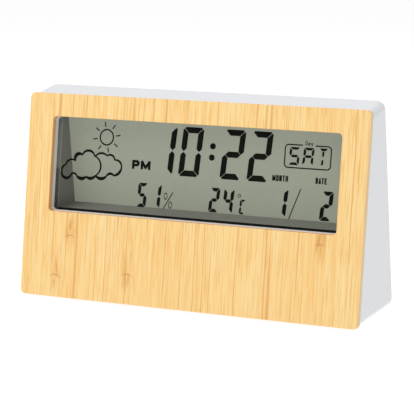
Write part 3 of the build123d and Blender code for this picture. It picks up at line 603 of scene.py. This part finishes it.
# degree sign, per cent sign and the stroke between month and date
ring(17.68, 43.07, 0.66, 0.27, steps=20)
ring(-11.6, 40.76, 1.35, 0.40, squeeze=0.56, steps=24)
ring(-9.62, 37.68, 1.35, 0.40, squeeze=0.56, steps=24)
stroke_line((-12.3, 36.1), (-8.8, 42.3), 0.36)
stroke_line((37.19, 36.1), (41.15, 47.2), 0.38)

# frame round the weekday, open at the top for its word
frame_left, frame_right, frame_low, frame_high = 34.1, 51.95, 54.3, 62.95
frame_corner, frame_line = 1.3, 0.46
frame_inset = frame_corner + frame_line / 2
straight_left, straight_right = frame_left + frame_inset, frame_right - frame_inset
straight_low, straight_high = frame_low + frame_inset, frame_high - frame_inset
for corner_x, corner_up, first in (
    (straight_right, straight_high, 0),
    (straight_left, straight_high, 90),
    (straight_left, straight_low, 180),
    (straight_right, straight_low, 270),
):
    for step in range(first, first + 90, 15):
        a, b = math.radians(step), math.radians(step + 15)
        outer, inner = frame_inset, frame_inset - frame_line
        dark(
            [
                (corner_x + r * math.cos(t), corner_up + r * math.sin(t))
                for r, t in ((outer, a), (outer, b), (inner, b), (inner, a))
            ]
        )
line_left, line_right = frame_left + frame_line / 2, frame_right - frame_line / 2
line_low, line_high = frame_low + frame_line / 2, frame_high - frame_line / 2
word_left, word_right = 40.9, 45.7
for start, end in (
    ((straight_left, line_low), (straight_right, line_low)),
    ((line_left, straight_low), (line_left, straight_high)),
    ((line_right, straight_low), (line_right, straight_high)),
    ((straight_left, line_high), (word_left, line_high)),
    ((word_right, line_high), (straight_right, line_high)),
):
    stroke_line(start, end, frame_line)

# sun: a ring and eight rays
sun = Vector((-37.25, 61.0))
ray_start, ray_end, ray_line = 3.9, 5.75, 0.46
ring(sun.x, sun.y, 3.15, 0.56, squeeze=0.96, steps=48)
for step in range(8):
    angle = math.radians(10 + 45 * step)
    ray = Vector((math.cos(angle), math.sin(angle)))
    stroke_line(sun + ray_start * ray, sun + ray_end * ray, ray_line)

# clouds: each lobe's start and crest and its line's width there; the next start ends it
near_cloud = [
    ((-53.9, 49.8), (-53.0, 51.3), 0.7),
    ((-49.9, 51.4), (-48.9, 54.1), 1.4),
    ((-47.1, 53.8), (-44.3, 55.6), 0.9),
    ((-41.9, 53.7), (-39.2, 50.8), 0.7),
    ((-41.1, 46.4), (-43.1, 45.2), 1.3),
    ((-45.1, 45.8), (-47.1, 44.9), 1.4),
    ((-49.1, 45.9), (-50.3, 46.7), 0.8),
    ((-51.4, 46.4), (-53.8, 44.7), 1.1),
    ((-55.5, 47.3), (-55.0, 49.1), 0.8),
    ((-53.9, 49.8), None, 0),
]
far_cloud = [
    ((-41.6, 53.6), (-39.5, 54.9), 0.8),
    ((-36.7, 54.1), (-35.0, 54.5), 0.8),
    ((-33.4, 52.7), (-31.1, 52.0), 0.8),
    ((-30.4, 50.1), (-31.2, 48.2), 1.1),
    ((-33.5, 46.9), (-35.0, 47.5), 1.0),
    ((-36.5, 46.5), (-38.8, 45.4), 1.3),
    ((-41.0, 46.3), None, 0),
]


def bow(start, crest, end, weight, thin=0.55, steps=12):
    """Round line through three points, thinner at its ends, run on a little past them."""
    start, crest, end = Vector(start), Vector(crest), Vector(end)
    first, last = crest - start, end - start
    bend = 2 * first.cross(last)
    square_first, square_last = first.length_squared, last.length_squared
    centre = start + Vector(
        (
            (last.y * square_first - first.y * square_last) / bend,
            (first.x * square_last - last.x * square_first) / bend,
        )
    )
    radius = (start - centre).length
    turning = 1 if bend > 0 else -1
    angle = math.atan2(start.y - centre.y, start.x - centre.x)
    end_angle = math.atan2(end.y - centre.y, end.x - centre.x)
    past = 0.12 / radius
    sweep = (turning * (end_angle - angle)) % math.tau + 2 * past
    corners = []
    for i in range(steps + 1):
        share = i / steps
        t = angle + turning * (sweep * share - past)
        half = (thin + (weight - thin) * math.sin(math.pi * share)) / 2
        corners.append(
            [
                (centre.x + reach * math.cos(t), centre.y + reach * math.sin(t))
                for reach in (radius + half, radius - half)
            ]
        )
    for near, far in zip(corners, corners[1:]):
        dark([near[0], far[0], far[1], near[1]])


for cloud in (near_cloud, far_cloud):
    for (start, crest, weight), (end, *_) in zip(cloud, cloud[1:]):
        bow(start, crest, end, weight)

# captions in plain strokes: each letter's lines in a box one wide and one high
LETTERS = {
    "P": [[(0, 0), (0, 1), (0.75, 1), (1, 0.86), (1, 0.6), (0.75, 0.45), (0, 0.45)]],
    "M": [[(0, 0), (0, 1), (0.5, 0.15), (1, 1), (1, 0)]],
    "O": [
        [
            (0.25, 0),
            (0, 0.2),
            (0, 0.8),
            (0.25, 1),
            (0.75, 1),
            (1, 0.8),
            (1, 0.2),
            (0.75, 0),
            (0.25, 0),
        ]
    ],
    "N": [[(0, 0), (0, 1), (1, 0), (1, 1)]],
    "T": [[(0, 1), (1, 1)], [(0.5, 1), (0.5, 0)]],
    "H": [[(0, 0), (0, 1)], [(1, 0), (1, 1)], [(0, 0.5), (1, 0.5)]],
    "D": [[(0, 0), (0, 1), (0.65, 1), (1, 0.75), (1, 0.25), (0.65, 0), (0, 0)]],
    "A": [[(0, 0), (0.5, 1), (1, 0)], [(0.2, 0.3), (0.8, 0.3)]],
    "E": [[(1, 1), (0, 1), (0, 0), (1, 0)], [(0, 0.5), (0.8, 0.5)]],
    "a": [[(0.1, 0.62), (0.9, 0.62), (0.9, 0), (0.1, 0), (0.1, 0.34), (0.9, 0.34)]],
    "y": [[(0.05, 0.66), (0.5, 0.0)], [(0.95, 0.66), (0.3, -0.35)]],
}


def caption(word, left, low, wide, high, weight):
    """Word in strokes, fitted to a width and a height in millimetres."""
    shares = [1.3 if letter == "M" else 1.0 for letter in word]
    letter_gap = 0.17
    unit = wide / (sum(shares) + letter_gap * (len(word) - 1))
    for i, letter in enumerate(word):
        letter_left = left + (sum(shares[:i]) + i * letter_gap) * unit + weight / 2
        letter_wide = shares[i] * unit - weight
        for path in LETTERS[letter]:
            points = [
                Vector((letter_left + x * letter_wide, low + weight / 2 + y * (high - weight)))
                for x, y in path
            ]
            for one, other in zip(points, points[1:]):
                over = (other - one).normalized() * weight * 0.35
                stroke_line(one - over, other + over, weight)


caption("PM", -26.1, 49.8, 7.6, 3.5, 1.0)
caption("MONTH", 30.0, 49.3, 6.1, 2.25, 0.46)
caption("DATE", 46.5, 49.35, 4.3, 2.25, 0.46)
caption("Day", 41.85, 62.75, 3.0, 1.45, 0.24)
display_segments = from_bmesh("display_segments", segments, segment_ink)
display_segments.visible_shadow = False
display_segments.visible_diffuse = False
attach(display_segments, "station")

# ---------------------------------------------------------------------------------------
# Gasket and reflector box behind the display: black foam, then an open box of pale grey
# styrene whose floor and side walls show through the display, with a silver sheet at
# its back.
# closed-cell foam: matt, with fine dark pits
gasket_foam, tree, shader, place = new_material("neoprene foam")
pits = add_node(
    tree,
    "ShaderNodeTexVoronoi",
    {"Vector": stretched(tree, place, (2500, 2500, 2500)), "Scale": 1.0},
).outputs["Distance"]
# the long bars are black; the short end bars are painted pale grey like the box, painted light
# for the light the housing wall keeps off them
end_bars_from = 57.0 * MM
across = add_node(tree, "ShaderNodeSeparateXYZ", {"Vector": place}).outputs["X"]
painted_light_end_bars = maths(tree, "GREATER_THAN", maths(tree, "ABSOLUTE", across), end_bars_from)
foam = blended(tree, "MIX", painted_light_end_bars, linear("#121211"), linear("#BDBDB6"))
foam = blended(tree, "MULTIPLY", 1.0, foam, ramp(tree, pits, [(0.1, 0.8), (0.6, 1.0)]))
tree.links.new(foam, shader.inputs["Base Color"])
shader.inputs["Roughness"].default_value = 0.9
dress(gasket_foam, ["display_gasket"])
# moulded styrene: an even mid grey with a low shine, darker through the display
grey_styrene = moulded("grey styrene", "#90918B", 0.5, 0.4 * MM, 0.02 * MM)
dress(grey_styrene, ["reflector_box"])

# frosted metallised film: an even silvery green-grey without a mirror image
silver_film, tree, shader, place = new_material("frosted silver film with painted glow")
frost = add_node(
    tree,
    "ShaderNodeTexNoise",
    {"Vector": stretched(tree, place, (1500, 1500, 1500)), "Scale": 1.0, "Detail": 2.0},
).outputs["Fac"]
frost_shade = ramp(tree, frost, [(0.3, "#8A8F80"), (0.7, "#91968A")])
tree.links.new(frost_shade, shader.inputs["Base Color"])
shader.inputs["Roughness"].default_value = 0.6
# painted light: the film glows faintly green-white, standing in for light that reaches it through
# the display
shader.inputs["Emission Color"].default_value = (0.93, 1.0, 0.79, 1)
shader.inputs["Emission Strength"].default_value = 0.20
dress(silver_film, ["reflector_sheet"])

# ---------------------------------------------------------------------------------------
# Screws: steel wire with a cold-headed cross recess and rolled threads, zinc plated. They
# tap their own way into the plastic posts.


def plated(name, code, roughness, streak=(200, 200, 200)):
    """Bare or plated metal: mirror-like shine, broken by faint streaks in its polish."""
    made, tree, shader, place = new_material(name)
    marks = add_node(
        tree,
        "ShaderNodeTexNoise",
        {"Vector": stretched(tree, place, streak), "Scale": 1.0, "Detail": 3.0},
    ).outputs["Fac"]
    shades = ramp(tree, marks, [(0.3, 0.85), (0.7, 1.0)])
    tree.links.new(
        blended(tree, "MULTIPLY", 1.0, linear(code), shades), shader.inputs["Base Color"]
    )
    tree.links.new(
        ramp(tree, marks, [(0.3, roughness + 0.1), (0.7, roughness)]), shader.inputs["Roughness"]
    )
    shader.inputs["Metallic"].default_value = 1.0
    return made


zinc = plated("zinc-plated steel", "#C2C4C6", 0.3, (900, 900, 900))
dress(zinc, ["box_screws", "board_screws", "key_board_screws", "cover_screws"])

# ---------------------------------------------------------------------------------------
# Main board: glass-epoxy board under green solder mask, with a potted chip, a crystal,
# two capacitors and chip resistors; a rubber strip joins it to the glass.
# The mask is glossy, and the copper tracks under it show as paler lines.
track_pitch = 3.846 * MM
solder_mask, tree, shader, place = new_material("green solder mask on glass epoxy")
tracks = add_node(
    tree,
    "ShaderNodeTexBrick",
    {
        "Vector": stretched(tree, place, (1 / track_pitch,) * 3),
        "Scale": 1.0,
        "Color1": linear("#0E5A2A"),
        "Color2": linear("#12652F"),
        "Mortar": linear("#1F7A3C"),
        "Mortar Size": 0.04,
    },
)
tree.links.new(tracks.outputs["Color"], shader.inputs["Base Color"])
shader.inputs["Roughness"].default_value = 0.35
dress(solder_mask, ["main_board", "key_board"])

# potting epoxy sets glossy and black; plated cans shine warm; sleeves and chips are satin
black_epoxy = moulded("black potting epoxy", "#0D0D0E", 0.25, 1.5 * MM, 0.05 * MM)
dress(black_epoxy, ["controller_blob", "thermistor"])
nickel = plated("nickel-plated steel", "#CFCBC2", 0.25)
dress(nickel, ["crystal"])
sleeve = moulded("dark blue shrink sleeve", "#141A3A", 0.3, 0.8 * MM, 0.02 * MM)
dress(sleeve, ["capacitors"])
chip_ceramic = moulded("alumina chip resistor", "#1A1A1C", 0.35, 0.3 * MM, 0.01 * MM)
dress(chip_ceramic, ["resistors"])

# silicone in pink and black layers across the strip; the real ones are a tenth of a millimetre
# apart, and these are coarser, so that they show
layer_pitch = 1.2 * MM
strip_rubber, tree, shader, place = new_material("layered conducting silicone")
rubber_layers = add_node(
    tree,
    "ShaderNodeTexWave",
    {"Vector": place, "Scale": 1 / layer_pitch / math.tau, "Distortion": 0.2},
    bands_direction="X",
).outputs["Fac"]
layer_shade = ramp(tree, rubber_layers, [(0.3, "#C9989A"), (0.7, "#5A4A4A")])
tree.links.new(layer_shade, shader.inputs["Base Color"])
shader.inputs["Roughness"].default_value = 0.6
dress(strip_rubber, ["contact_strip"])

# ---------------------------------------------------------------------------------------
# Rear cover, battery door and keys: white ABS as the housing. The keys are moulded apart in
# a greyer and smoother white, and each stands on the black plunger of its switch.
dress(white_abs, ["rear_cover", "battery_door"])
key_abs = moulded("light grey ABS keys", "#D3D5D8", 0.38, 0.3 * MM, 0.01 * MM)
key_names = ("mode", "set", "up", "down", "alarm")
dress(key_abs, [f"key_{name}" for name in key_names])
switch_nylon = moulded("black nylon switches", "#101011", 0.5, 0.3 * MM, 0.02 * MM)
dress(switch_nylon, ["switch_bodies"] + [f"plunger_{name}" for name in key_names])

# ---------------------------------------------------------------------------------------
# Sensors, sounder and wires: a louvred humidity sensor, a brass disc with a silvered ceramic
# glued on it, thin leads in glossy sleeves, and a flat grey ribbon to the keys' board.
sensor_blue = moulded("blue sensor housing", "#2F6DA8", 0.45, 0.3 * MM, 0.02 * MM)
dress(sensor_blue, ["humidity_sensor"])
brass = plated("rolled brass", "#D9B25A", 0.3, (60, 900, 60))
dress(brass, ["sounder_disc"])
ceramic = moulded("silvered piezo ceramic", "#D8D6CF", 0.35, 0.3 * MM, 0.01 * MM)
dress(ceramic, ["sounder_ceramic"])
black_sleeve = moulded("black wire sleeve", "#121212", 0.4, 0.6 * MM, 0.02 * MM)
dress(black_sleeve, ["sounder_leads", "battery_lead_black"])
red_sleeve = moulded("red wire sleeve", "#A81410", 0.4, 0.6 * MM, 0.02 * MM)
dress(red_sleeve, ["battery_lead_red"])
grey_ribbon = moulded("grey ribbon cable", "#8E9094", 0.5, 0.6 * MM, 0.02 * MM)
dress(grey_ribbon, ["key_ribbon"])

# ---------------------------------------------------------------------------------------
# Cells: drawn steel cans in a shrunk printed jacket, bare at both ends. The gold band
# marks the end with the nub; the two cells lie opposite ways. The metallised print shines
# in a long streak, with fine scuffs.
for name, nub_side in (("cell_upper", -1), ("cell_lower", 1)):
    jacket, tree, shader, place = new_material(f"printed jacket {name}")
    ends = sorted((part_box(name)[0].x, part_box(name)[1].x), reverse=nub_side < 0)
    along = add_node(tree, "ShaderNodeSeparateXYZ", {"Vector": place}).outputs["X"]
    share = maths(tree, "DIVIDE", maths(tree, "SUBTRACT", along, ends[0]), ends[1] - ends[0])
    bands = ramp(
        tree,
        share,
        [(0.0, "#C3C4C4"), (0.022, "#23503C"), (0.70, "#C79A4A"), (0.955, "#C3C4C4")],
    )
    bands.node.color_ramp.interpolation = "CONSTANT"
    tree.links.new(bands, shader.inputs["Base Color"])
    scuffs = add_node(
        tree,
        "ShaderNodeTexNoise",
        {"Vector": stretched(tree, place, (300, 900, 900)), "Scale": 1.0, "Detail": 3.0},
    ).outputs["Fac"]
    gloss = ramp(tree, scuffs, [(0.3, 0.34), (0.7, 0.24)])
    tree.links.new(gloss, shader.inputs["Roughness"])
    shader.inputs["Metallic"].default_value = 0.7
    dress(jacket, [name])

# ---------------------------------------------------------------------------------------
# Contacts: punched strips of nickel-plated spring steel against the tray's end walls. Two
# carry a cone of wound wire that presses on a cell's flat end; the wire is welded on.
dress(nickel, ["contact_positive"])


def cell_axis(name):
    """Point in the middle of a cell."""
    low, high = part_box(name)
    return (low + high) / 2


between = (cell_axis("cell_upper") - cell_axis("cell_lower")) * Vector((0, 1, 1))
cover_up = Vector((0, between.y, between.z)).normalized()
cover_out = Vector((0, cover_up.z, -cover_up.y))


def spring_tree():
    """Node tree that winds a tapering wire spring along Z, with its sizes as inputs."""
    tree = bpy.data.node_groups.new("wound spring", "GeometryNodeTree")
    face = tree.interface
    face.new_socket("Geometry", in_out="INPUT", socket_type="NodeSocketGeometry")
    for name in ("Wide Radius", "Narrow Radius", "Length", "Turns", "Wire Radius"):
        face.new_socket(name, in_out="INPUT", socket_type="NodeSocketFloat")
    face.new_socket("Material", in_out="INPUT", socket_type="NodeSocketMaterial")
    face.new_socket("Geometry", in_out="OUTPUT", socket_type="NodeSocketGeometry")
    given = add_node(tree, "NodeGroupInput").outputs
    coil = add_node(
        tree,
        "GeometryNodeCurveSpiral",
        {
            "Resolution": 28,
            "Rotations": given["Turns"],
            "Start Radius": given["Wide Radius"],
            "End Radius": given["Narrow Radius"],
            "Height": given["Length"],
        },
    ).outputs["Curve"]
    section = add_node(
        tree,
        "GeometryNodeCurvePrimitiveCircle",
        {"Resolution": 10, "Radius": given["Wire Radius"]},
    ).outputs["Curve"]
    wire = add_node(
        tree,
        "GeometryNodeCurveToMesh",
        {"Curve": coil, "Profile Curve": section, "Fill Caps": True},
    ).outputs["Mesh"]
    real = add_node(tree, "GeometryNodeRealizeInstances", {"Geometry": wire})
    finished = add_node(
        tree,
        "GeometryNodeSetMaterial",
        {"Geometry": real.outputs["Geometry"], "Material": given["Material"]},
    ).outputs["Geometry"]
    add_node(tree, "NodeGroupOutput", {"Geometry": finished})
    return tree


wound_spring = spring_tree()


def spring_mesh(sizes):
    """Mesh of one wound spring from its named sizes, standing on the origin along Z."""
    holder = bpy.data.objects.new("spring", bpy.data.meshes.new("spring"))
    bpy.context.scene.collection.objects.link(holder)
    winding = holder.modifiers.new("winding", "NODES")
    winding.node_group = wound_spring
    for item in wound_spring.interface.items_tree:
        if item.in_out == "INPUT" and item.name in sizes:
            winding[item.identifier] = sizes[item.name]
    seen = holder.evaluated_get(bpy.context.evaluated_depsgraph_get())
    made = bpy.data.meshes.new_from_object(seen)
    holder.modifiers.remove(winding)
    bpy.data.objects.remove(holder)
    return made


plate_thick = 0.4 * MM
plate_wide = 8.0 * MM
plate_half_high = 4.85 * MM
tail_deep = 9.1 * MM
tail_half_high = 1.2 * MM
wire_radius = 0.25 * MM
spring_gap = 0.1 * MM  # to the cell's end
dome_sides = 24
dome_rings = ((1.7, 0.0), (1.6, 0.35), (1.35, 0.75), (0.9, 1.05), (0.4, 1.13))


def add_box(made, middle, half_x, half_up, half_out):
    """Box square to the leaning cover, added to a mesh under construction."""
    corners = {}
    for i in (-1, 1):
        for j in (-1, 1):
            for k in (-1, 1):
                point = middle + Vector((i * half_x, 0, 0)) + cover_up * j * half_up
                corners[i, j, k] = made.verts.new(point + cover_out * k * half_out)
    for axis in range(3):
        for end in (-1, 1):
            ring_of = [(-1, -1), (1, -1), (1, 1), (-1, 1)]
            keys = [tuple(pair[:axis] + (end,) + pair[axis:]) for pair in ring_of]
            made.faces.new([corners[key] for key in keys])


def contact_piece(name, inward, spring_at, dome_at, tail_at):
    """Plate with a spring towards one cell, a pressed dome towards another, and a tail."""
    low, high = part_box(name)
    wall_x = (low.x if inward > 0 else high.x) + inward * plate_thick / 2
    made = bmesh.new()
    axis_points = [cell_axis(c) for c in (spring_at, dome_at) if c is not None]
    middle = sum(axis_points, Vector()) / len(axis_points)
    middle.x = wall_x
    half_high = plate_half_high + abs(axis_points[0].z - axis_points[-1].z) / 2 / cover_up.z
    add_box(made, middle, plate_thick / 2, half_high, plate_wide / 2)
    if tail_at is not None:
        tail = cell_axis(tail_at) - cover_out * (tail_deep / 2 + 0.5 * MM)
        tail.x = wall_x
        add_box(made, tail, plate_thick / 2, tail_half_high, tail_deep / 2)
    start = cell_axis(spring_at)
    start.x = wall_x + inward * (plate_thick / 2 + wire_radius)
    across_x = Vector((inward, 0, 0))
    cell_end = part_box(spring_at)[0 if inward > 0 else 1].x
    room = abs(cell_end - start.x) - wire_radius - spring_gap
    coil = spring_mesh(
        {
            "Wide Radius": 3.4 * MM,
            "Narrow Radius": 2.0 * MM,
            "Length": room,
            "Turns": 4.25,
            "Wire Radius": wire_radius,
            "Material": nickel,
        }
    )
    turned = Matrix((cover_up, across_x.cross(cover_up), across_x)).transposed().to_4x4()
    coil.transform(Matrix.Translation(start) @ turned)
    made.from_mesh(coil)
    if dome_at is not None:
        foot = cell_axis(dome_at)
        foot.x = wall_x + inward * plate_thick / 2
        rings = []
        for radius, rise in dome_rings:
            rings.append(
                [
                    made.verts.new(
                        foot
                        + across_x * rise * MM
                        + cover_up * radius * MM * math.cos(math.tau * i / dome_sides)
                        + cover_out * radius * MM * math.sin(math.tau * i / dome_sides)
                    )
                    for i in range(dome_sides)
                ]
            )
        made.faces.new(rings[0])
        made.faces.new(rings[-1])
        for one, other in zip(rings, rings[1:]):
            for i in range(dome_sides):
                j = (i + 1) % dome_sides
                made.faces.new((one[i], one[j], other[j], other[i]))
    piece = from_bmesh(f"wound_{name}", made, nickel)
    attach(piece, "station")
    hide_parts(name)


contact_piece("contact_negative", 1, "cell_lower", None, "cell_lower")
contact_piece("contact_bridge", -1, "cell_upper", "cell_lower", None)

# ---------------------------------------------------------------------------------------
# Foot pads: round pads of cloudy silicone, punched from sheet, with adhesive backs. They sit
# in shallow places under the base and keep it from sliding.
pad_rubber = moulded("translucent white silicone pad", "#CFCFCB", 0.5, 0.5 * MM, 0.02 * MM)
dress(pad_rubber, ["foot_pads"])

# ---------------------------------------------------------------------------------------
# Studio: a pale floor, an even white surround and two large soft lights. The surround is
# plain white to the eye, and lights the object less than that.
floor_half_side = 6
floor_mesh = bmesh.new()
bmesh.ops.create_grid(floor_mesh, x_segments=1, y_segments=1, size=floor_half_side)
floor_paint, tree, shader, place = new_material("pale floor")
shader.inputs["Base Color"].default_value = linear("#9A9A9A")
shader.inputs["Roughness"].default_value = 0.9
shader.inputs["Specular IOR Level"].default_value = 0.1
shader.inputs["Emission Color"].default_value = (1, 1, 1, 1)
shader.inputs["Emission Strength"].default_value = 0.79
floor = from_bmesh("floor", floor_mesh, floor_paint)

studio = bpy.data.worlds.new("studio")
studio.use_nodes = True
tree = studio.node_tree
tree.nodes.clear()
surround = add_node(
    tree, "ShaderNodeBackground", {"Color": (0.98, 0.99, 1.0, 1), "Strength": 0.50}
)
white = add_node(tree, "ShaderNodeBackground", {"Color": (1, 1, 1, 1), "Strength": 1.0})
seen = add_node(tree, "ShaderNodeLightPath").outputs["Is Camera Ray"]
walls = add_node(
    tree,
    "ShaderNodeMixShader",
    {0: seen, 1: surround.outputs["Background"], 2: white.outputs["Background"]},
)
add_node(tree, "ShaderNodeOutputWorld", {"Surface": walls.outputs["Shader"]})
bpy.context.scene.world = studio
bpy.context.scene.view_settings.view_transform = "Standard"


def soft_light(name, place, target, size, power, colour=(1, 1, 1)):
    """Square soft light at place, turned to target; its power is in watts."""
    made = bpy.data.lights.new(name, "AREA")
    made.shape = "SQUARE"
    made.size = size
    made.energy = power
    made.color = colour
    lamp = bpy.data.objects.new(name, made)
    bpy.context.scene.collection.objects.link(lamp)
    lamp.location = place
    lamp.rotation_euler = (Vector(target) - Vector(place)).to_track_quat("-Z", "Y").to_euler()


middle = (cad_box[0] + cad_box[1]) / 2
soft_light("key_light", (-0.45, -0.75, 0.85), middle, 0.7, 5.0, (1.0, 0.99, 0.97))
soft_light("top_light", (0.1, 0.25, 1.1), middle, 0.8, 3.9)
